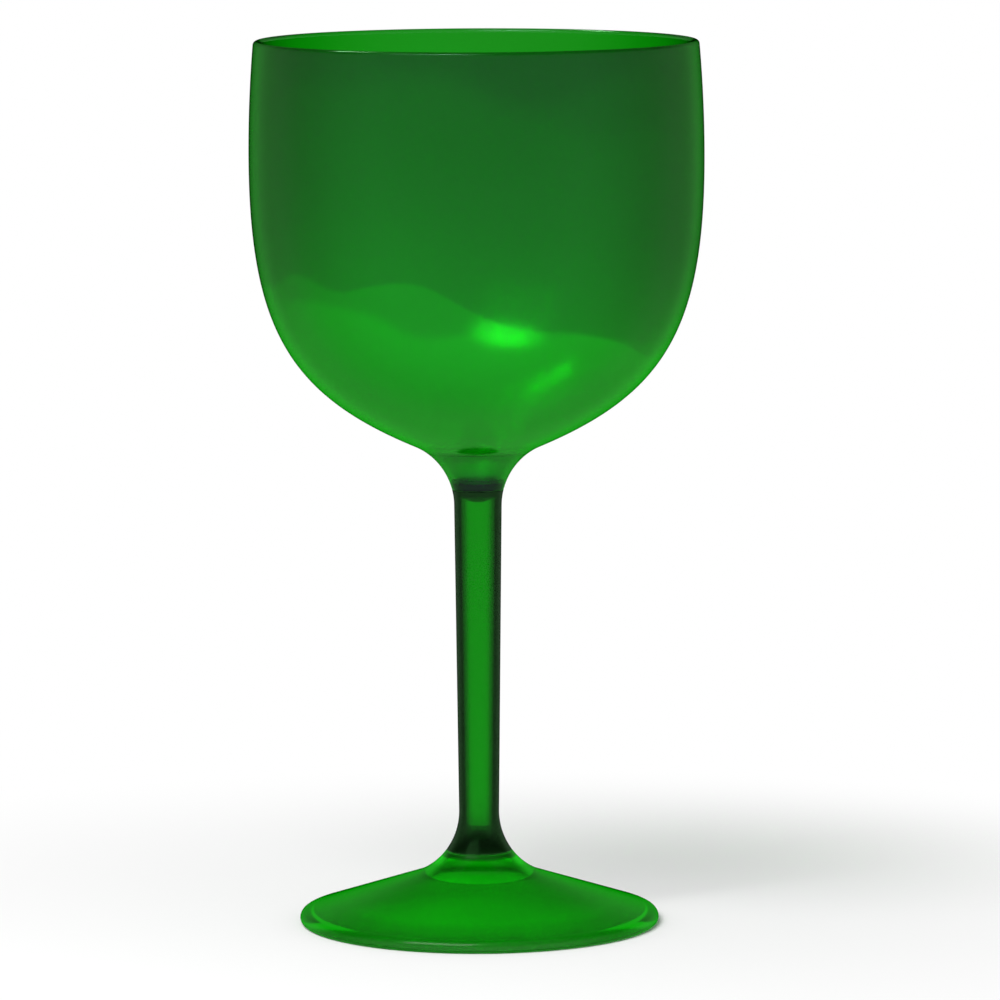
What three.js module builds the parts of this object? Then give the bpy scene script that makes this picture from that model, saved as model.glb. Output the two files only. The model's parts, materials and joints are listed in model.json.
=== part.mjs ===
// Stemmed gin goblet in clear green moulded plastic: a thin bowl, a hollow tapered stem and a domed
// foot, cemented together at two flat joints. Millimetres, +Z up, with the origin on the table under
// the middle of the foot.
import * as THREE from 'three';

// Bowl
const glassHeight = 200;
const rimRadius = 50;
const bellyRadius = 51.1;
const bellyDrop = 26.4; // how far the widest ring lies below the rim
const bowlWall = 1.8;
const bellyPull = 39; // how far the side runs on straight below the belly before it turns in
const basePull = 29.8; // how far the base keeps the slope of the neck before it turns up
const baseSlope = THREE.MathUtils.degToRad(23.4); // slope of the bowl's base where the neck begins

// Well in the bottom of the bowl, which keeps the neck thin-walled
const wellMouthRadius = 9.4;
const wellDepth = 8;
const wellFloorRadius = 4.2;
const wellFloorThickness = 1.2;

// Plug under the bowl that drops into the bore of the stem
const plugLength = 1.4;
const plugNose = 1.3;

// Stem
const neckFillet = 15;
const neckHeight = 95; // where the neck's fillet runs out into the straight stem
const stemTopRadius = 5.36;
const stemFootRadius = 4.53;
const stemWall = 1.4;
const boreFloor = 1; // solid left between the bore and the socket in the stem's base
const boreEndRound = 2;
const rootFillet = 15.3;

// Foot
const footRadius = 40.7;
const footSlope = THREE.MathUtils.degToRad(18.2);
const footWall = 1.6; // square to the slope, next to the standing ring
const footHubWall = 2.6; // the same at the mouth of the recess
const footUpperEdge = 1.75; // rounding of the edge above its widest line
const footLowerEdge = 1.15; // rounding below it
const standingRingWidth = 2.2;
const recessMouthRadius = 11.3;
const recessWall = 2.2; // plastic left between the recess's ceiling and the outer surface
const footPadThickness = 1.2; // web between the recess and the joint with the stem
const pipRadius = 3;
const pipHeight = 0.5;

// Joints
const upperJointRise = 3.7; // the stem's top face above where the neck's fillet runs out
const lowerJointRadius = 7.6; // the foot's pad, where the root has flared to this radius
const cementFilm = 0.3;
const fitClearance = 0.3; // gap left round and beyond each plug and pip
const cementSetback = 0.15; // how far the cement stays inside the outer surface

// Facets
const turnSegments = 48;
const sideSteps = 14;
const upperSideSteps = 5;
const filletSteps = 8;
const edgeSteps = 4;

// The outline of the whole glass is a chain of tangent curves; x is the radius and y the height.
const lipRadius = bowlWall / 2;
const bellyHeight = glassHeight - bellyDrop;
const neckCentre = new THREE.Vector2(stemTopRadius + neckFillet, neckHeight);
const neckStart = new THREE.Vector2(
  neckCentre.x - neckFillet * Math.sin(baseSlope),
  neckCentre.y + neckFillet * Math.cos(baseSlope),
);
const footEdgeRadius = footRadius - footUpperEdge * (1 - Math.sin(footSlope));
const footEdgeHeight = footLowerEdge + footUpperEdge * Math.cos(footSlope);
const rootEndRadius = stemFootRadius + rootFillet * (1 - Math.sin(footSlope));
const rootEndHeight = footTopAt(rootEndRadius);
const rootCentre = new THREE.Vector2(
  stemFootRadius + rootFillet,
  rootEndHeight + rootFillet * Math.cos(footSlope),
);

// Heights of the joint faces and of the hollows next to them
const upperJointHeight = neckHeight + upperJointRise;
const shoulderHeight = upperJointHeight + cementFilm;
const wellFloorHeight = shoulderHeight + wellFloorThickness;
const wellMouthHeight = wellFloorHeight + wellDepth;
const footPadHeight = rootHeightAt(lowerJointRadius);
const stemBaseHeight = footPadHeight + cementFilm;
const socketTop = footPadHeight + pipHeight + fitClearance;
const boreEndHeight = socketTop + boreFloor;
const recessCeilingHeight = footPadHeight - footPadThickness;

function footTopAt(radius) {
  return footEdgeHeight + (footEdgeRadius - radius) * Math.tan(footSlope);
}

function neckRadiusAt(height) {
  const rise = height - neckCentre.y;
  return neckCentre.x - Math.sqrt(neckFillet ** 2 - rise ** 2);
}

function rootRadiusAt(height) {
  const drop = rootCentre.y - height;
  return rootCentre.x - Math.sqrt(rootFillet ** 2 - drop ** 2);
}

function rootHeightAt(radius) {
  return rootCentre.y - Math.sqrt(rootFillet ** 2 - (rootCentre.x - radius) ** 2);
}

function boreRadiusAt(height) {
  const along = (height - rootCentre.y) / (neckHeight - rootCentre.y);
  return THREE.MathUtils.lerp(stemFootRadius, stemTopRadius, along) - stemWall;
}

function point(radius, height) {
  return new THREE.Vector2(radius, height);
}

function arc(centre, radius, startAngle, endAngle, steps) {
  const clockwise = endAngle < startAngle;
  const curve = new THREE.EllipseCurve(centre.x, centre.y, radius, radius, startAngle, endAngle, clockwise);
  return curve.getPoints(steps);
}

function withoutFirst(points) {
  return points.slice(1);
}

// Outside of the bowl from the neck's start up to the lip
function bowlSide() {
  const base = new THREE.CubicBezierCurve(
    neckStart,
    point(neckStart.x + basePull * Math.cos(baseSlope), neckStart.y + basePull * Math.sin(baseSlope)),
    point(bellyRadius, bellyHeight - bellyPull),
    point(bellyRadius, bellyHeight),
  );
  const lipHeight = glassHeight - lipRadius;
  const upper = new THREE.QuadraticBezierCurve(
    point(bellyRadius, bellyHeight),
    point(bellyRadius, (bellyHeight + lipHeight) / 2),
    point(rimRadius, lipHeight),
  );
  return [...base.getPoints(sideSteps), ...withoutFirst(upper.getPoints(upperSideSteps))];
}

// The neck's fillet from a joint height up to the bowl, or from the stem up to that joint
function neckArc(fromHeight, toHeight, steps) {
  const angleAt = (height) => Math.PI - Math.asin((height - neckCentre.y) / neckFillet);
  return arc(neckCentre, neckFillet, angleAt(fromHeight), angleAt(toHeight), steps);
}

// An outline moved towards the axis by a wall's thickness, square to its own run
function inset(points, distance) {
  return points.map((p, i) => {
    const before = points[Math.max(i - 1, 0)];
    const after = points[Math.min(i + 1, points.length - 1)];
    const along = after.clone().sub(before).normalize();
    return point(p.x - along.y * distance, p.y + along.x * distance);
  });
}

function turned(points) {
  const geometry = new THREE.LatheGeometry(points, turnSegments);
  return geometry.rotateX(Math.PI / 2);
}

function bowlOutline() {
  const plugRadius = boreRadiusAt(shoulderHeight) - fitClearance;
  const noseTop = upperJointHeight - plugLength;
  const noseSphere = (plugRadius ** 2 + plugNose ** 2) / (2 * plugNose);
  const noseCentre = point(0, noseTop - plugNose + noseSphere);
  const noseAngle = Math.asin(plugRadius / noseSphere);
  const nose = arc(noseCentre, noseSphere, -Math.PI / 2, noseAngle - Math.PI / 2, edgeSteps);
  const neck = neckArc(shoulderHeight, neckStart.y, filletSteps);
  const side = bowlSide();
  const lipCentre = point(rimRadius - lipRadius, glassHeight - lipRadius);
  const lip = arc(lipCentre, lipRadius, 0, Math.PI, edgeSteps);
  const outside = [...neck, ...withoutFirst(side)];
  const insideTop = glassHeight - bowlWall;
  const inside = inset(outside, bowlWall).filter((p) => p.y > wellMouthHeight && p.y < insideTop);
  return [
    ...nose,
    point(plugRadius, shoulderHeight),
    ...outside,
    ...withoutFirst(lip),
    ...inside.reverse(),
    point(wellMouthRadius, wellMouthHeight),
    point(wellFloorRadius, wellFloorHeight),
    point(0, wellFloorHeight),
  ];
}

function stemOutline() {
  const socketRadius = pipRadius + fitClearance;
  const boreEndRadius = boreRadiusAt(boreEndHeight);
  const boreRound = Math.min(boreEndRound, boreEndRadius);
  const boreCorner = point(boreEndRadius - boreRound, boreEndHeight + boreRound);
  const rootAngle = (height) => Math.PI + Math.asin((rootCentre.y - height) / rootFillet);
  const root = arc(rootCentre, rootFillet, rootAngle(stemBaseHeight), Math.PI, filletSteps);
  return [
    point(0, socketTop),
    point(socketRadius, socketTop),
    point(socketRadius, stemBaseHeight),
    ...root,
    ...neckArc(neckHeight, upperJointHeight, edgeSteps),
    point(boreRadiusAt(upperJointHeight), upperJointHeight),
    ...arc(boreCorner, boreRound, 0, -Math.PI / 2, edgeSteps),
    point(0, boreEndHeight),
  ];
}

function footOutline() {
  const hubDrop = footHubWall / Math.cos(footSlope);
  const edgeDrop = footWall / Math.cos(footSlope);
  const ringOuter = footRadius - footLowerEdge;
  const ringInner = ringOuter - standingRingWidth;
  const padAngle = Math.PI + Math.asin((rootCentre.y - footPadHeight) / rootFillet);
  const root = arc(rootCentre, rootFillet, 1.5 * Math.PI - footSlope, padAngle, filletSteps);
  const upperEdgeCentre = point(footRadius - footUpperEdge, footLowerEdge);
  const lowerEdgeCentre = point(ringOuter, footLowerEdge);
  return [
    point(0, recessCeilingHeight),
    point(rootRadiusAt(recessCeilingHeight) - recessWall, recessCeilingHeight),
    point(recessMouthRadius, footTopAt(recessMouthRadius) - hubDrop),
    point(ringInner, footTopAt(ringInner) - edgeDrop),
    point(ringInner, 0),
    ...arc(lowerEdgeCentre, footLowerEdge, -Math.PI / 2, 0, edgeSteps),
    ...withoutFirst(arc(upperEdgeCentre, footUpperEdge, 0, Math.PI / 2 - footSlope, edgeSteps)),
    ...root,
    point(pipRadius, footPadHeight),
    point(pipRadius, footPadHeight + pipHeight),
    point(0, footPadHeight + pipHeight),
  ];
}

// A flat ring of set cement between two joint faces
function cementOutline(innerRadius, outerRadius, baseHeight) {
  const topHeight = baseHeight + cementFilm;
  return [
    point(innerRadius, baseHeight),
    point(outerRadius - cementSetback, baseHeight),
    point(outerRadius - cementSetback, topHeight),
    point(innerRadius, topHeight),
    point(innerRadius, baseHeight),
  ];
}

function piece(name, outline, material) {
  const mesh = new THREE.Mesh(turned(outline), material);
  mesh.name = name;
  return mesh;
}

function upperCementOutline() {
  return cementOutline(boreRadiusAt(upperJointHeight), neckRadiusAt(upperJointHeight), upperJointHeight);
}

function lowerCementOutline() {
  return cementOutline(pipRadius + fitClearance, rootRadiusAt(stemBaseHeight), footPadHeight);
}

function clearPlastic(opacity) {
  const finish = { color: 0x198b19, roughness: 0.06, metalness: 0 };
  return new THREE.MeshStandardMaterial({ ...finish, transparent: true, opacity });
}

function setCement() {
  return new THREE.MeshStandardMaterial({ color: 0x0f3a12, roughness: 0.3, metalness: 0 });
}

const ginGlass = new THREE.Group();
ginGlass.name = 'gin_glass';
ginGlass.add(
  piece('bowl', bowlOutline(), clearPlastic(0.5)),
  piece('upper_joint_cement', upperCementOutline(), setCement()),
  piece('stem', stemOutline(), clearPlastic(0.6)),
  piece('lower_joint_cement', lowerCementOutline(), setCement()),
  piece('foot', footOutline(), clearPlastic(0.6)),
);

export default ginGlass;
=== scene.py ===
import json
import math
import bmesh
import bpy
from mathutils import Matrix, Quaternion, Vector

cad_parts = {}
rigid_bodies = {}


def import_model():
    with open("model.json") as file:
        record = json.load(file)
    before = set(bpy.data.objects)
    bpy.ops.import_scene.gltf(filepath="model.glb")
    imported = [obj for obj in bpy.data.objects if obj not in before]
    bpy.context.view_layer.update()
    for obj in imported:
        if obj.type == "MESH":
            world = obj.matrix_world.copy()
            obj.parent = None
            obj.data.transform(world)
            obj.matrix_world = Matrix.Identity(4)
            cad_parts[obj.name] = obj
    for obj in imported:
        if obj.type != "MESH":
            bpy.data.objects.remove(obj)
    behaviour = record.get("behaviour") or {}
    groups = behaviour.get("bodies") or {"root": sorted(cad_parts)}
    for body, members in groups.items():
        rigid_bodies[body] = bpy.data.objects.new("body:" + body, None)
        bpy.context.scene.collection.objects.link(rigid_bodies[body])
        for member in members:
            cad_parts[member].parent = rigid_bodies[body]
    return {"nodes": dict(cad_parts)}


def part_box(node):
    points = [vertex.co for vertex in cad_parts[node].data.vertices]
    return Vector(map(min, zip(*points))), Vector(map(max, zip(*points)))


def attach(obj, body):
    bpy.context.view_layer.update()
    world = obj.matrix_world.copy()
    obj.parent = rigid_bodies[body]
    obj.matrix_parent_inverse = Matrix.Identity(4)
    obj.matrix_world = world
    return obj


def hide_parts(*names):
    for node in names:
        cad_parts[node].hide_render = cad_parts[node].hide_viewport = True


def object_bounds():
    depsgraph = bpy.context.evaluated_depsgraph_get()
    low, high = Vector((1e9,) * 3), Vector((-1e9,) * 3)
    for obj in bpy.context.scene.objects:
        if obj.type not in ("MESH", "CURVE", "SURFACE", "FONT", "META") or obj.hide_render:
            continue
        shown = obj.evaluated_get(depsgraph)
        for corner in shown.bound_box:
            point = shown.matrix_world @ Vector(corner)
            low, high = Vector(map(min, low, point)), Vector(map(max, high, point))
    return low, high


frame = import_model()
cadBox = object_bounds()
mm = 0.001  # outlines are drawn in millimetres, meshes are in metres
print("frame loaded:", ", ".join(sorted(frame["nodes"])))


def topOf(node):
    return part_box(node)[1][2] / mm


def bottomOf(node):
    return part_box(node)[0][2] / mm


def radiusOf(node):
    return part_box(node)[1][0] / mm


# how finely outlines are turned, and how many steps each kind of curve gets
fine = {
    "segments": 192,
    "spacing": 2,  # longest straight run between two points, mm
    "sharpDeg": 40,  # steeper corners stay sharp
    "axisReach": 1e-6,  # a nearer point lies on the axis, mm
    "corner": 6,
    "edge": 12,
    "round": 16,
    "rim": 20,
    "upperSide": 24,
    "fillet": 40,
    "lowerSide": 80,
}


# outline tools: an outline is a list of (radius, height) pairs

def arcPoints(centre, radius, fromDeg, toDeg, steps):
    turn = [math.radians(fromDeg + (toDeg - fromDeg) * i / steps) for i in range(steps + 1)]
    return [(centre[0] + radius * math.cos(a), centre[1] + radius * math.sin(a)) for a in turn]


def bezierPoints(corners, steps):
    order = len(corners) - 1
    points = []
    for i in range(steps + 1):
        t = i / steps
        weights = [math.comb(order, k) * t ** k * (1 - t) ** (order - k) for k in range(order + 1)]
        points.append(tuple(sum(w * c[axis] for w, c in zip(weights, corners)) for axis in (0, 1)))
    return points


def insetPoints(points, distance):
    moved = []
    for i, (r, z) in enumerate(points):
        before = points[max(i - 1, 0)]
        after = points[min(i + 1, len(points) - 1)]
        run = Vector((after[0] - before[0], after[1] - before[1])).normalized()
        moved.append((r - run.y * distance, z + run.x * distance))
    return moved


def roundCorners(corners):
    # corners are (radius, height, rounding); a rounding of 0 keeps the point as it is
    points = []
    for i, (r, z, rounding) in enumerate(corners):
        here = Vector((r, z))
        if rounding == 0 or i in (0, len(corners) - 1):
            points.append((r, z))
            continue
        back = (Vector(corners[i - 1][:2]) - here).normalized()
        ahead = (Vector(corners[i + 1][:2]) - here).normalized()
        half = math.acos(max(-1, min(1, back.dot(ahead)))) / 2
        reach = rounding / math.tan(half)
        points += bezierPoints([here + back * reach, here, here + ahead * reach], fine["corner"])
    return points


def spreadPoints(points):
    # cuts long straight runs so that facets stay even
    spread = [points[0]]
    for a, b in zip(points, points[1:]):
        cuts = max(1, math.ceil(math.dist(a, b) / fine["spacing"]))
        for k in range(1, cuts + 1):
            spread.append((a[0] + (b[0] - a[0]) * k / cuts, a[1] + (b[1] - a[1]) * k / cuts))
    return spread


def turnOutline(name, outline, closed=False):
    work = bmesh.new()
    segments = fine["segments"]
    angles = [2 * math.pi * k / segments for k in range(segments)]
    rings = []
    for r, z in outline:
        if r < fine["axisReach"]:
            rings.append([work.verts.new((0, 0, z * mm))])
            continue
        spots = [(r * mm * math.cos(a), r * mm * math.sin(a), z * mm) for a in angles]
        rings.append([work.verts.new(spot) for spot in spots])
    pairs = list(zip(rings, rings[1:]))
    if closed:
        pairs.append((rings[-1], rings[0]))
    for one, two in pairs:
        for k in range(segments):
            n = (k + 1) % segments
            corners = [one[k % len(one)], one[n % len(one)], two[n % len(two)], two[k % len(two)]]
            work.faces.new(list(dict.fromkeys(corners)))  # at the axis the corners fall together
    bmesh.ops.recalc_face_normals(work, faces=work.faces)
    mesh = bpy.data.meshes.new(name)
    work.to_mesh(mesh)
    work.free()
    mesh.polygons.foreach_set("use_smooth", [True] * len(mesh.polygons))
    mesh.set_sharp_from_angle(angle=math.radians(fine["sharpDeg"]))
    piece = bpy.data.objects.new(name, mesh)
    bpy.context.collection.objects.link(piece)
    return piece


def fitPiece(piece, node, material, mirrored=False):
    piece.data.materials.append(material)
    piece.visible_glossy = mirrored  # only the bowl is: the rest left a dark image in its underside
    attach(piece, "root")
    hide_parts(node)
    print("made", piece.name, "with", len(piece.data.polygons), "faces")


# the outer line that bowl, stem and foot share, in millimetres
glass = {
    "height": cadBox[1][2] / mm,
    "neckFillet": 15,
    "neckHeight": 95,
    "stemTop": 5.36,
    "stemFoot": 4.53,
    "stemWall": 1.4,
    "rootFillet": 15.3,
    "footSlope": 18.2,
    "footRadius": radiusOf("foot"),
    "footUpperEdge": 1.75,
    "footLowerEdge": 1.15,
    "pipRadius": 3,  # pip on the foot, which enters the socket in the stem
    "fitClearance": 0.3,  # round the bowl's plug and the foot's pip
    "jointGap": 0.02,  # air between the cement and each joint face
}
socketRadius = glass["pipRadius"] + glass["fitClearance"]
neckCentre = (glass["stemTop"] + glass["neckFillet"], glass["neckHeight"])
slopeSin = math.sin(math.radians(glass["footSlope"]))
slopeCos = math.cos(math.radians(glass["footSlope"]))
edgeRadius = glass["footRadius"] - glass["footUpperEdge"] * (1 - slopeSin)
edgeHeight = glass["footLowerEdge"] + glass["footUpperEdge"] * slopeCos


def footTopAt(radius):
    return edgeHeight + (edgeRadius - radius) * slopeSin / slopeCos


rootEnd = glass["stemFoot"] + glass["rootFillet"] * (1 - slopeSin)
rootCentre = (glass["stemFoot"] + glass["rootFillet"], footTopAt(rootEnd) + glass["rootFillet"] * slopeCos)


def boreRadiusAt(height):
    along = (height - rootCentre[1]) / (glass["neckHeight"] - rootCentre[1])
    return glass["stemFoot"] + (glass["stemTop"] - glass["stemFoot"]) * along - glass["stemWall"]


def neckDeg(height):
    return 180 - math.degrees(math.asin((height - neckCentre[1]) / glass["neckFillet"]))


def rootDeg(height):
    return 180 + math.degrees(math.asin((rootCentre[1] - height) / glass["rootFillet"]))


def neckRadiusAt(height):
    return neckCentre[0] + glass["neckFillet"] * math.cos(math.radians(neckDeg(height)))


def rootRadiusAt(height):
    return rootCentre[0] + glass["rootFillet"] * math.cos(math.radians(rootDeg(height)))


# shader helpers

def newMaterial(name):
    material = bpy.data.materials.new(name)
    material.use_nodes = True
    material.node_tree.nodes.clear()
    return material, material.node_tree


def newGroup(name, inputs, outputs):
    group = bpy.data.node_groups.new(name, "ShaderNodeTree")
    for label, kind in inputs:
        group.interface.new_socket(label, in_out="INPUT", socket_type=kind)
    for label in outputs:
        group.interface.new_socket(label, in_out="OUTPUT", socket_type="NodeSocketFloat")
    return group, addNode(group, "NodeGroupInput"), addNode(group, "NodeGroupOutput")


def addNode(tree, kind, **values):
    node = tree.nodes.new(kind)
    for key, value in values.items():
        if hasattr(node, key):
            setattr(node, key, value)
        else:
            node.inputs[key].default_value = value
    return node


def addMath(tree, operation, *values):
    # each value is a number or another node's output
    node = addNode(tree, "ShaderNodeMath", operation=operation)
    for socket, value in zip(node.inputs, values):
        if isinstance(value, bpy.types.NodeSocket):
            tree.links.new(value, socket)
        else:
            socket.default_value = value
    return node.outputs["Value"]


def addSpan(tree, source, fromSpan, toSpan=(0, 1), smooth=True):
    # maps one span of values to another and holds its ends
    node = addNode(tree, "ShaderNodeMapRange", interpolation_type="SMOOTHSTEP" if smooth else "LINEAR")
    node.inputs["From Min"].default_value, node.inputs["From Max"].default_value = fromSpan
    node.inputs["To Min"].default_value, node.inputs["To Max"].default_value = toSpan
    tree.links.new(source, node.inputs["Value"])
    return node.outputs["Result"]


def addRamp(tree, source, stops):
    node = addNode(tree, "ShaderNodeValToRGB")
    elements = node.color_ramp.elements
    for i, (at, colour) in enumerate(stops):
        stop = elements[i] if i < 2 else elements.new(at)  # a new ramp already has two stops
        stop.position = at
        stop.color = (*colour, 1)
    tree.links.new(source, node.inputs["Fac"])
    return node.outputs["Color"]


def heightRamp(tree, level, stops):
    # colours set by height in millimetres
    low, high = stops[0][0], stops[-1][0]
    along = addSpan(tree, level, (low * mm, high * mm), smooth=False)
    return addRamp(tree, along, [((at - low) / (high - low), colour) for at, colour in stops])


def grey(stops):
    return [(at, (share, share, share)) for at, share in stops]


def paintedBorderNoiseGroup():
    # noise that makes the painted light and shade borders in the colour wander
    group, given, result = newGroup(
        "paintedBorderNoise",
        [
            ("Vector", "NodeSocketVector"),
            ("Scale", "NodeSocketFloat"),
            ("Stretch", "NodeSocketFloat"),
            ("Seed", "NodeSocketFloat"),
        ],
        ["Drift"],
    )
    link = group.links.new
    squash = addNode(group, "ShaderNodeCombineXYZ", X=1.0, Y=1.0)
    link(given.outputs["Stretch"], squash.inputs["Z"])
    along = addNode(group, "ShaderNodeVectorMath", operation="MULTIPLY")
    link(given.outputs["Vector"], along.inputs[0])
    link(squash.outputs["Vector"], along.inputs[1])
    drift = addNode(group, "ShaderNodeTexNoise", noise_dimensions="4D", Detail=1.0)
    link(along.outputs["Vector"], drift.inputs["Vector"])
    link(given.outputs["Scale"], drift.inputs["Scale"])
    link(given.outputs["Seed"], drift.inputs["W"])
    link(drift.outputs["Fac"], result.inputs["Drift"])
    return group


# where the noise shows as a smear or a scratch, and how the scratches run
handling = {
    "smearScale": 45.0,
    "smearSpan": (0.45, 0.75),
    "scratchScale": 900.0,
    "scratchSpan": (0.72, 0.78),
    "scratchTurn": (0.5, 0.3, 0.9),
    "scratchStretch": (1, 1, 0.06),
}


def handlingMarksGroup(spec):
    # faint smears and hairline scratches from washing and stacking
    group, given, result = newGroup(
        "handlingMarks",
        [("Vector", "NodeSocketVector"), ("Smears", "NodeSocketFloat"), ("Scratches", "NodeSocketFloat")],
        ["Haze"],
    )
    link = group.links.new
    smear = addNode(group, "ShaderNodeTexNoise", Scale=spec["smearScale"], Detail=3.0, Roughness=0.6)
    link(given.outputs["Vector"], smear.inputs["Vector"])
    smearMask = addSpan(group, smear.outputs["Fac"], spec["smearSpan"])
    smearShare = addMath(group, "MULTIPLY", smearMask, given.outputs["Smears"])
    slant = addNode(group, "ShaderNodeMapping", Rotation=spec["scratchTurn"], Scale=spec["scratchStretch"])
    link(given.outputs["Vector"], slant.inputs["Vector"])
    scratch = addNode(group, "ShaderNodeTexNoise", Scale=spec["scratchScale"], Detail=0.0)
    link(slant.outputs["Vector"], scratch.inputs["Vector"])
    scratchMask = addSpan(group, scratch.outputs["Fac"], spec["scratchSpan"], smooth=False)
    haze = addMath(group, "MULTIPLY_ADD", scratchMask, given.outputs["Scratches"], smearShare)
    link(haze, result.inputs["Haze"])
    return group


paintedBorderNoise = paintedBorderNoiseGroup()
handlingMarks = handlingMarksGroup(handling)
print("node groups ready")

# green plastic that the three mouldings share, and that the cement starts from
# absorbPerMm is how fast it takes each colour
greenPlastic = {
    "ior": 1.45,
    "gloss": 0.05,
    "smears": 0.02,
    "scratches": 0.03,
    "mirrorTint": (0.26, 1.0, 0.28),
    "edgeTint": (0.02, 0.88, 0.02),
    # share of the edge tint, by how far the surface is turned away
    "edgeOn": [(0.12, 0.0), (0.35, 0.7), (0.57, 0.78), (0.8, 0.95), (0.92, 1.0)],
    "absorbPerMm": (1.8, 0.5, 1.8),
    "borderNoiseScale": 22,
    "borderNoiseStretch": 0.6,
    "borderNoiseSeed": 4,
    "borderSway": 40,  # mm that the full range of the noise moves a painted light and shade border
    "borderLean": (0.1, 0.123),  # the painted borders lie tilted, lower on the right and at the back
    "swayOver": (115, 130),  # heights over which the painted borders come loose, mm
}
borderNoiseMiddle = 0.5  # the noise lies evenly about this value


def clearPlastic(name, spec):
    material, tree = newMaterial(name)
    link = tree.links.new
    output = addNode(tree, "ShaderNodeOutputMaterial")
    shader = addNode(tree, "ShaderNodeBsdfPrincipled")
    place = addNode(tree, "ShaderNodeTexCoord").outputs["Object"]
    level = addNode(tree, "ShaderNodeSeparateXYZ")
    link(place, level.inputs["Vector"])
    height = level.outputs["Z"]

    # colour by height, carrying the green and painted light and shade; where the painted borders are loose
    # they lean and wander with the noise
    borderNoise = addNode(tree, "ShaderNodeGroup", node_tree=paintedBorderNoise)
    borderNoise.inputs["Scale"].default_value = spec["borderNoiseScale"]
    borderNoise.inputs["Stretch"].default_value = spec["borderNoiseStretch"]
    borderNoise.inputs["Seed"].default_value = spec["borderNoiseSeed"]
    link(place, borderNoise.inputs["Vector"])
    lean = addNode(tree, "ShaderNodeVectorMath", operation="DOT_PRODUCT")
    lean.inputs[1].default_value = Vector((*spec["borderLean"], 0)) / (spec["borderSway"] * mm)
    link(place, lean.inputs[0])
    drift = addMath(tree, "SUBTRACT", borderNoise.outputs["Drift"], borderNoiseMiddle)
    wander = addMath(tree, "ADD", lean.outputs["Value"], drift)
    loose = addSpan(tree, height, [at * mm for at in spec["swayOver"]], (0, spec["borderSway"] * mm))
    sway = addMath(tree, "MULTIPLY_ADD", wander, loose, height)
    link(heightRamp(tree, sway, spec["tintsAndPaintedShading"]), shader.inputs["Base Color"])

    marks = addNode(tree, "ShaderNodeGroup", node_tree=handlingMarks)
    marks.inputs["Smears"].default_value = spec["smears"]
    marks.inputs["Scratches"].default_value = spec["scratches"]
    link(place, marks.inputs["Vector"])
    dull = spec["gloss"]
    if "glossByHeight" in spec:
        dull = heightRamp(tree, height, grey(spec["glossByHeight"]))
    link(addMath(tree, "ADD", marks.outputs["Haze"], dull), shader.inputs["Roughness"])

    shader.inputs["IOR"].default_value = spec["ior"]
    shader.inputs["Specular Tint"].default_value = (*spec["mirrorTint"], 1)
    shader.inputs["Transmission Weight"].default_value = 1

    # a tinted skin without gloss of its own: the plastic deepens where it is seen edge-on
    facing = addNode(tree, "ShaderNodeLayerWeight", Blend=0.5)
    link(addRamp(tree, facing.outputs["Facing"], grey(spec["edgeOn"])), shader.inputs["Coat Weight"])
    shader.inputs["Coat IOR"].default_value = 1
    if "edgeTintLow" in spec:
        # towards the base the skin stays lighter: painted light, as if the lower bowl were lit from the
        # floor below
        skin = addNode(tree, "ShaderNodeMix", data_type="RGBA")
        skin.inputs["A"].default_value = (*spec["edgeTintLow"], 1)
        skin.inputs["B"].default_value = (*spec["edgeTint"], 1)
        link(addSpan(tree, height, [at * mm for at in spec["edgeSpan"]]), skin.inputs["Factor"])
        link(skin.outputs["Result"], shader.inputs["Coat Tint"])
    else:
        shader.inputs["Coat Tint"].default_value = (*spec["edgeTint"], 1)

    depth = addNode(tree, "ShaderNodeVolumeAbsorption")
    strongest = max(spec["absorbPerMm"])
    depth.inputs["Density"].default_value = strongest / mm
    depth.inputs["Color"].default_value = (*[1 - a / strongest for a in spec["absorbPerMm"]], 1)
    link(shader.outputs["BSDF"], output.inputs["Surface"])
    link(depth.outputs["Volume"], output.inputs["Volume"])
    return material


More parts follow.
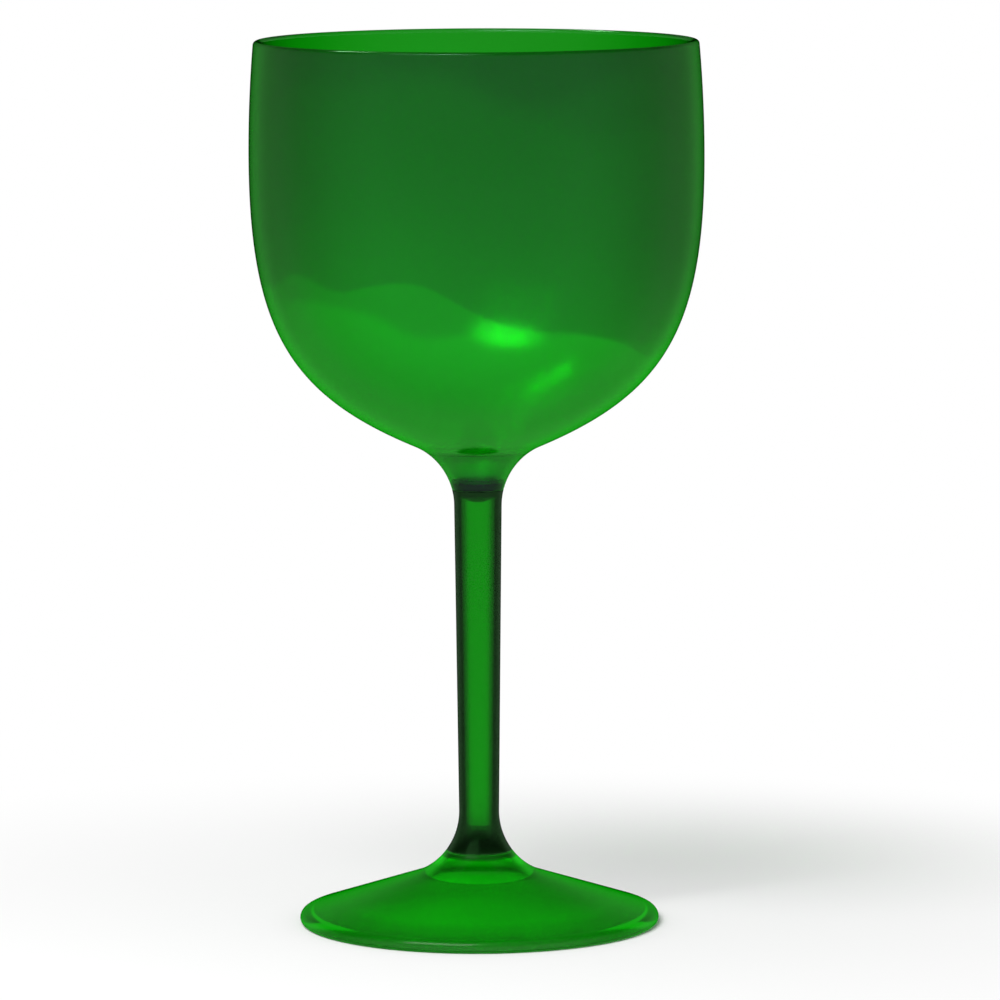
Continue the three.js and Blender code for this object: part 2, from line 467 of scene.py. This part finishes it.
# bowl; its gloss, and its colours with their painted light and shade, are given by height
bowl = {
    "rimRadius": 50,
    "bellyRadius": radiusOf("bowl"),
    "bellyDrop": 26.4,
    "wall": 1.8,
    "bellyPull": 39,
    "basePull": 29.8,
    "baseSlope": 23.4,
    "wellMouth": 9.4,
    "wellMouthRound": 0.3,
    "wellDepth": 8,
    "wellFloor": 4.2,
    "wellFloorRound": 0.6,
    "wellFloorThickness": 1.2,
    "ledgeRun": 0.5,  # last slope of the inner side, down to the ledge round the well
    "insideTrim": 0.3,  # the inner side stops this far from the ledge and the lip
    "plugNose": 1.3,
    "plugRound": 0.15,
    "plastic": {
        "ior": 1.3,
        "mirrorTint": (0.7, 1.0, 1.0),
        "glossByHeight": [(101, 0.11), (101.6, 0.3), (107.4, 0.3), (108.6, 0.11)],  # the well is duller
        "edgeOn": [
            (0.12, 0.0),
            (0.35, 0.48),
            (0.48, 0.62),
            (0.6, 0.79),
            (0.7, 0.85),
            (0.82, 0.95),
            (0.92, 1.0),
        ],
        "edgeTint": (0.02, 0.825, 0.02),
        # a lighter edge tint towards the base: painted light on the lower bowl
        "edgeTintLow": (0.02, 0.925, 0.02),
        "edgeSpan": (125, 158),  # heights from the low edge tint to the full one, mm
        "absorbPerMm": (1.8, 0.03, 1.8),
        # painted light and shade by height: near-black painted shade at the neck band, a darker painted
        # line at the well's mouth, the lower bowl painted lighter as if lit from the floor below, and a
        # step near 135.5 mm up into darker painted shade towards the rim
        "tintsAndPaintedShading": [
            (96, (0.01, 0.012, 0.01)),
            (100.4, (0.01, 0.012, 0.01)),
            (100.6, (0.3, 0.48, 0.3)),
            (107.6, (0.3, 0.52, 0.3)),
            (107.9, (0.3, 0.38, 0.3)),
            (108.3, (0.3, 0.38, 0.3)),
            (108.6, (0.3, 0.58, 0.3)),
            (126, (0.3, 0.62, 0.3)),
            (135.3, (0.3, 0.625, 0.3)),
            (135.7, (0.3, 0.475, 0.33)),
            (146, (0.3, 0.44, 0.34)),
            (157, (0.3, 0.402, 0.35)),
            (165, (0.3, 0.384, 0.36)),
            (186, (0.3, 0.352, 0.36)),
            (193, (0.3, 0.3, 0.32)),
            (206, (0.3, 0.28, 0.3)),
        ],
    },
}


def bowlOutline(spec):
    shoulder = topOf("upper_joint_cement") + glass["jointGap"]
    noseTip = bottomOf("bowl")
    plugRadius = boreRadiusAt(shoulder) - glass["fitClearance"]
    noseRadius = (plugRadius ** 2 + spec["plugNose"] ** 2) / (2 * spec["plugNose"])
    noseHalf = math.degrees(math.asin(plugRadius / noseRadius))
    nose = arcPoints((0, noseTip + noseRadius), noseRadius, -90, -90 + noseHalf, fine["round"])
    neckTopDeg = 90 + spec["baseSlope"]
    neck = arcPoints(neckCentre, glass["neckFillet"], neckDeg(shoulder), neckTopDeg, fine["fillet"])
    plug = roundCorners([(*nose[-1], 0), (plugRadius, shoulder, spec["plugRound"]), (*neck[0], 0)])
    slope = math.radians(spec["baseSlope"])
    neckEnd = neck[-1]
    bellyHeight = glass["height"] - spec["bellyDrop"]
    lip = spec["wall"] / 2
    lipHeight = glass["height"] - lip
    base = bezierPoints([
        neckEnd,
        (neckEnd[0] + spec["basePull"] * math.cos(slope), neckEnd[1] + spec["basePull"] * math.sin(slope)),
        (spec["bellyRadius"], bellyHeight - spec["bellyPull"]),
        (spec["bellyRadius"], bellyHeight),
    ], fine["lowerSide"])
    upper = bezierPoints([
        (spec["bellyRadius"], bellyHeight),
        (spec["bellyRadius"], (bellyHeight + lipHeight) / 2),
        (spec["rimRadius"], lipHeight),
    ], fine["upperSide"])
    outside = neck + base[1:] + upper[1:]
    rim = arcPoints((spec["rimRadius"] - lip, lipHeight), lip, 0, 180, fine["rim"])
    wellFloor = shoulder + spec["wellFloorThickness"]
    wellMouth = wellFloor + spec["wellDepth"]
    lowest = wellMouth + spec["insideTrim"]
    highest = lipHeight - spec["insideTrim"]
    inside = [p for p in insetPoints(outside, spec["wall"]) if lowest < p[1] < highest]
    inside.reverse()
    well = roundCorners([
        (*inside[-1], 0),
        (inside[-1][0] - spec["ledgeRun"], wellMouth, spec["wellMouthRound"]),
        (spec["wellMouth"], wellMouth, spec["wellMouthRound"]),
        (spec["wellFloor"], wellFloor, spec["wellFloorRound"]),
        (0, wellFloor, 0),
    ])
    return spreadPoints(nose[:-1] + plug[:-1] + outside + rim[1:] + inside[:-1] + well)


bowlPlastic = clearPlastic("bowlPlastic", greenPlastic | bowl["plastic"])
bowlMoulding = turnOutline("bowl_moulding", bowlOutline(bowl))
fitPiece(bowlMoulding, "bowl", bowlPlastic, mirrored=True)

# stem
stem = {
    "boreFloor": 1,
    "boreEndRound": 2,
    "boreMouthRound": 0.15,
    "socketRound": 0.2,
    "socketMouthRound": 0.1,
    "plastic": {
        "edgeTint": (0.02, 0.55, 0.02),
        # painted shade: near-black at the top, part of the painted dark band at the neck, and dark at the
        # bottom below the bore, where the root shows dark; green between
        "tintsAndPaintedShading": [
            (16, (0.1, 0.12, 0.1)),
            (18.3, (0.1, 0.12, 0.1)),
            (18.8, (0.3, 1.0, 0.3)),
            (97.2, (0.3, 0.96, 0.3)),
            (97.6, (0.02, 0.03, 0.02)),
            (99, (0.02, 0.03, 0.02)),
        ],
    },
}


def stemOutline(spec):
    top = topOf("stem") - glass["jointGap"]
    base = bottomOf("stem") + glass["jointGap"]
    socketTop = topOf("foot") + glass["fitClearance"]
    boreEnd = socketTop + spec["boreFloor"]
    boreRadius = boreRadiusAt(boreEnd)
    boreRound = min(spec["boreEndRound"], boreRadius)
    boreCorner = (boreRadius - boreRound, boreEnd + boreRound)
    root = arcPoints(rootCentre, glass["rootFillet"], rootDeg(base), 180, fine["fillet"])
    neck = arcPoints(neckCentre, glass["neckFillet"], 180, neckDeg(top), fine["round"])
    socket = roundCorners([
        (0, socketTop, 0),
        (socketRadius, socketTop, spec["socketRound"]),
        (socketRadius, base, spec["socketMouthRound"]),
        (*root[0], 0),
    ])
    mouth = roundCorners([
        (*neck[-1], 0),
        (boreRadiusAt(top), top, spec["boreMouthRound"]),
        (boreRadius, boreCorner[1], 0),
    ])
    boreBottom = arcPoints(boreCorner, boreRound, 0, -90, fine["round"])
    return spreadPoints(socket[:-1] + root + neck[:-1] + mouth[:-1] + boreBottom + [(0, boreEnd)])


stemPlastic = clearPlastic("stemPlastic", greenPlastic | stem["plastic"])
stemMoulding = turnOutline("stem_moulding", stemOutline(stem))
fitPiece(stemMoulding, "stem", stemPlastic)

# foot
foot = {
    "wall": 1.6,
    "hubWall": 2.6,
    "standingRing": 2.2,
    "ringTopRound": 0.2,
    "ringRound": 0.15,
    "recessMouth": 11.3,
    "recessMouthRound": 0.3,
    "recessWall": 2.2,
    "ceilingRound": 0.5,
    "padThickness": 1.2,
    "pipRootRound": 0.15,
    "pipRound": 0.2,
    "plastic": {
        "ior": 1.3,
        "gloss": 0.14,
        "mirrorTint": (1.0, 1.0, 1.0),
        "absorbPerMm": (1.05, 0.05, 1.05),
        "edgeTint": (0.02, 0.93, 0.02),
        # painted light and shade by height: darker at the bottom edge and where the recess's ring shows, a
        # painted light band under the root, and dark painted shade at the root
        "tintsAndPaintedShading": [
            (0, (0.3, 0.32, 0.3)),
            (3, (0.3, 0.42, 0.3)),
            (4, (0.3, 0.7, 0.3)),
            (6, (0.3, 0.74, 0.3)),
            (9, (0.3, 0.82, 0.3)),
            (11, (0.3, 0.82, 0.3)),
            (12, (0.3, 0.54, 0.3)),
            (13.2, (0.3, 0.54, 0.3)),
            (14, (0.3, 1.0, 0.3)),
            (15.1, (0.3, 1.0, 0.3)),
            (15.3, (0.1, 0.12, 0.1)),
            (17, (0.1, 0.12, 0.1)),
        ],
    },
}


def footOutline(spec):
    pad = bottomOf("lower_joint_cement") - glass["jointGap"]
    pipRadius = glass["pipRadius"]
    pipTop = topOf("foot")
    ceiling = bottomOf("lower_joint_cement") - spec["padThickness"]
    ringOuter = glass["footRadius"] - glass["footLowerEdge"]
    ringInner = ringOuter - spec["standingRing"]
    recessMouth = spec["recessMouth"]
    under = roundCorners([
        (0, ceiling, 0),
        (rootRadiusAt(ceiling) - spec["recessWall"], ceiling, spec["ceilingRound"]),
        (recessMouth, footTopAt(recessMouth) - spec["hubWall"] / slopeCos, spec["recessMouthRound"]),
        (ringInner, footTopAt(ringInner) - spec["wall"] / slopeCos, spec["ringTopRound"]),
        (ringInner, 0, spec["ringRound"]),
        (ringOuter, 0, 0),
    ])
    lowerCentre = (ringOuter, glass["footLowerEdge"])
    lowerEdge = arcPoints(lowerCentre, glass["footLowerEdge"], -90, 0, fine["edge"])
    upperCentre = (glass["footRadius"] - glass["footUpperEdge"], glass["footLowerEdge"])
    upperEdge = arcPoints(upperCentre, glass["footUpperEdge"], 0, 90 - glass["footSlope"], fine["edge"])
    rootEndDeg = 270 - glass["footSlope"]
    root = arcPoints(rootCentre, glass["rootFillet"], rootEndDeg, rootDeg(pad), fine["fillet"])
    pip = roundCorners([
        (*root[-1], 0),
        (pipRadius, pad, spec["pipRootRound"]),
        (pipRadius, pipTop, spec["pipRound"]),
        (0, pipTop, 0),
    ])
    return spreadPoints(under[:-1] + lowerEdge + upperEdge[1:] + root + pip[1:])


footPlastic = clearPlastic("footPlastic", greenPlastic | foot["plastic"])
footMoulding = turnOutline("foot_moulding", footOutline(foot))
fitPiece(footMoulding, "foot", footPlastic)

# cement at the two joints
cement = {
    "setback": 0.01,  # inside the outer line, mm
    "plastic": {
        "gloss": 0.15,
        "absorbPerMm": (4, 3, 4),
        "tintsAndPaintedShading": [(15, (0.3, 0.9, 0.3)), (99, (0.3, 0.9, 0.3))],
    },
}


def cementRing(spec, node, inner, outerAt):
    low = bottomOf(node) + glass["jointGap"]
    high = topOf(node) - glass["jointGap"]
    outer = min(outerAt(low), outerAt(high)) - spec["setback"]
    outline = [(inner, low), (outer, low), (outer, high), (inner, high)]
    return turnOutline(node + "_ring", outline, closed=True)


setCement = clearPlastic("setCement", greenPlastic | cement["plastic"])
upperRing = cementRing(cement, "upper_joint_cement", boreRadiusAt(topOf("stem")), neckRadiusAt)
fitPiece(upperRing, "upper_joint_cement", setCement)
lowerRing = cementRing(cement, "lower_joint_cement", socketRadius, rootRadiusAt)
fitPiece(lowerRing, "lower_joint_cement", setCement)

# floor: white paper that runs out into a white backdrop, in metres
paper = {
    "radius": 8,
    "segments": 96,
    "drop": 0.0001,  # just below the foot
    "colour": (0.95, 0.95, 0.95),
    "backdrop": (1, 1, 1),
    "fade": (0.05, 0.22),
    "throughPlastic": 0.4,  # share of the backdrop that is seen through the plastic
}


def makeFloor(spec):
    work = bmesh.new()
    bmesh.ops.create_circle(work, cap_ends=True, segments=spec["segments"], radius=spec["radius"])
    mesh = bpy.data.meshes.new("floor")
    work.to_mesh(mesh)
    work.free()
    floor = bpy.data.objects.new("floor", mesh)
    bpy.context.collection.objects.link(floor)
    floor.location.z = -spec["drop"]
    material, tree = newMaterial("whitePaper")
    link = tree.links.new
    output = addNode(tree, "ShaderNodeOutputMaterial")
    sheet = addNode(tree, "ShaderNodeBsdfDiffuse", Color=(*spec["colour"], 1))
    backdrop = addNode(tree, "ShaderNodeEmission", Color=(*spec["backdrop"], 1), Strength=1.0)
    place = addNode(tree, "ShaderNodeTexCoord")
    reach = addNode(tree, "ShaderNodeVectorMath", operation="LENGTH")
    link(place.outputs["Object"], reach.inputs[0])
    fade = addSpan(tree, reach.outputs["Value"], spec["fade"])
    through = addMath(tree, "MAXIMUM", fade, spec["throughPlastic"])
    # near the foot the camera sees the shadow
    # the plastic shows some of the backdrop there when looked through, and all of it in mirror reflections
    path = addNode(tree, "ShaderNodeLightPath").outputs
    show = path["Is Reflection Ray"]
    levels = {"Is Camera Ray": fade, "Is Glossy Ray": through, "Is Transmission Ray": through}
    for kind, level in levels.items():
        show = addMath(tree, "MAXIMUM", show, addMath(tree, "MULTIPLY", path[kind], level))
    blend = addNode(tree, "ShaderNodeMixShader")
    link(show, blend.inputs["Fac"])
    link(sheet.outputs["BSDF"], blend.inputs[1])
    link(backdrop.outputs["Emission"], blend.inputs[2])
    link(blend.outputs["Shader"], output.inputs["Surface"])
    mesh.materials.append(material)
    print("floor laid")


makeFloor(paper)

# studio: white towards the horizon, dimmer overhead; rise is the span between the two
studio = {"horizon": 1.0, "overhead": 0.25, "rise": (0.15, 0.6)}


def makeStudio(spec):
    world = bpy.data.worlds.new("studio")
    bpy.context.scene.world = world
    world.use_nodes = True
    tree = world.node_tree
    tree.nodes.clear()
    link = tree.links.new
    output = addNode(tree, "ShaderNodeOutputWorld")
    background = addNode(tree, "ShaderNodeBackground", Color=(1, 1, 1, 1))
    place = addNode(tree, "ShaderNodeTexCoord")
    upward = addNode(tree, "ShaderNodeSeparateXYZ")
    link(place.outputs["Generated"], upward.inputs["Vector"])
    level = addSpan(tree, upward.outputs["Z"], spec["rise"], (spec["horizon"], spec["overhead"]))
    link(level, background.inputs["Strength"])
    link(background.outputs["Background"], output.inputs["Surface"])


makeStudio(studio)

# softboxes: place and size in metres, power in watts, all aimed at the bowl
# the first one lights the scene, the others are only seen as glints in the bowl
softboxAim = Vector((0, 0, 0.13))
softboxes = [
    {
        "name": "topSoftbox",
        "place": (-0.45, -0.75, 1.0),
        "size": (0.9, 0.6),
        "power": 16.5,
        "mirrored": False,
    },
    {
        "name": "mainGlint",
        "place": (-0.28, -0.49, 1.2),
        "size": (0.95, 0.5),
        "power": 62,
        "only": "bowl_moulding",
    },
    {
        "name": "rearGlint",
        "place": (-0.47, 0.43, 1.12),
        "turnDeg": -23,
        "size": (0.5, 0.15),
        "power": 58,
        "only": "bowl_moulding",
    },
]
# a glint is faint on the outside of the bowl, and fades from the middle of its box to the edge
glint = {"outside": 0.2, "boxMiddle": (0.5, 0.5, 0), "fade": (0.55, 0.1)}


def glintNodes(data, spec):
    data.use_nodes = True
    tree = data.node_tree
    tree.nodes.clear()
    link = tree.links.new
    output = addNode(tree, "ShaderNodeOutputLight")
    glow = addNode(tree, "ShaderNodeEmission")
    path = addNode(tree, "ShaderNodeLightPath").outputs
    shown = addSpan(tree, path["Transmission Depth"], (0, 1), (spec["outside"], 1), smooth=False)
    direct = addMath(tree, "LESS_THAN", path["Diffuse Depth"], 1)  # so the floor gets no light from it
    onBox = addNode(tree, "ShaderNodeNewGeometry")
    away = addNode(tree, "ShaderNodeVectorMath", operation="DISTANCE")
    away.inputs[1].default_value = spec["boxMiddle"]
    link(onBox.outputs["Parametric"], away.inputs[0])
    hot = addSpan(tree, away.outputs["Value"], spec["fade"])
    level = addMath(tree, "MULTIPLY", addMath(tree, "MULTIPLY", shown, direct), hot)
    link(level, glow.inputs["Strength"])
    link(glow.outputs["Emission"], output.inputs["Surface"])


def makeSoftbox(spec):
    data = bpy.data.lights.new(spec["name"], "AREA")
    data.shape = "RECTANGLE"
    data.size, data.size_y = spec["size"]
    data.energy = spec["power"]
    lamp = bpy.data.objects.new(spec["name"], data)
    bpy.context.collection.objects.link(lamp)
    lamp.location = spec["place"]
    reach = softboxAim - Vector(spec["place"])
    turn = Quaternion((0, 0, 1), math.radians(spec.get("turnDeg", 0)))
    lamp.rotation_euler = (reach.to_track_quat("-Z", "Y") @ turn).to_euler()
    lamp.visible_glossy = spec.get("mirrored", True)
    if "only" in spec:
        receivers = bpy.data.collections.new(spec["name"] + "Receivers")
        receivers.objects.link(bpy.data.objects[spec["only"]])
        lamp.light_linking.receiver_collection = receivers
        glintNodes(data, glint)


for softbox in softboxes:
    makeSoftbox(softbox)
print("studio lit by", len(softboxes), "softboxes")

# camera, as in the photograph; lengths in metres, lens and sensor in millimetres
view = {
    "distance": 1.528,
    "height": 0.2839,
    "pitchDeg": 7.0,
    "yawDeg": -0.187,
    "rollDeg": -0.2,
    "lens": 245.7,
    "sensor": 36,
    "clipStart": 0.05,
}


def makeCamera(spec):
    data = bpy.data.cameras.new("photoCamera")
    data.sensor_width = spec["sensor"]
    data.lens = spec["lens"]
    data.clip_start = spec["clipStart"]
    camera = bpy.data.objects.new("photoCamera", data)
    bpy.context.collection.objects.link(camera)
    yaw = Matrix.Rotation(math.radians(spec["yawDeg"]), 4, "Z")
    pitch = Matrix.Rotation(math.radians(90 - spec["pitchDeg"]), 4, "X")
    roll = Matrix.Rotation(math.radians(spec["rollDeg"]), 4, "Z")
    camera.matrix_world = Matrix.Translation((0, -spec["distance"], spec["height"])) @ yaw @ pitch @ roll
    bpy.context.scene.camera = camera


makeCamera(view)
scene = bpy.context.scene
scene.view_settings.view_transform = "Standard"
# light passes many walls before it has left the glass
bounces = {"all": 24, "transmission": 20, "glossy": 16}
scene.cycles.max_bounces = bounces["all"]
scene.cycles.transmission_bounces = bounces["transmission"]
scene.cycles.glossy_bounces = bounces["glossy"]
print("camera set")
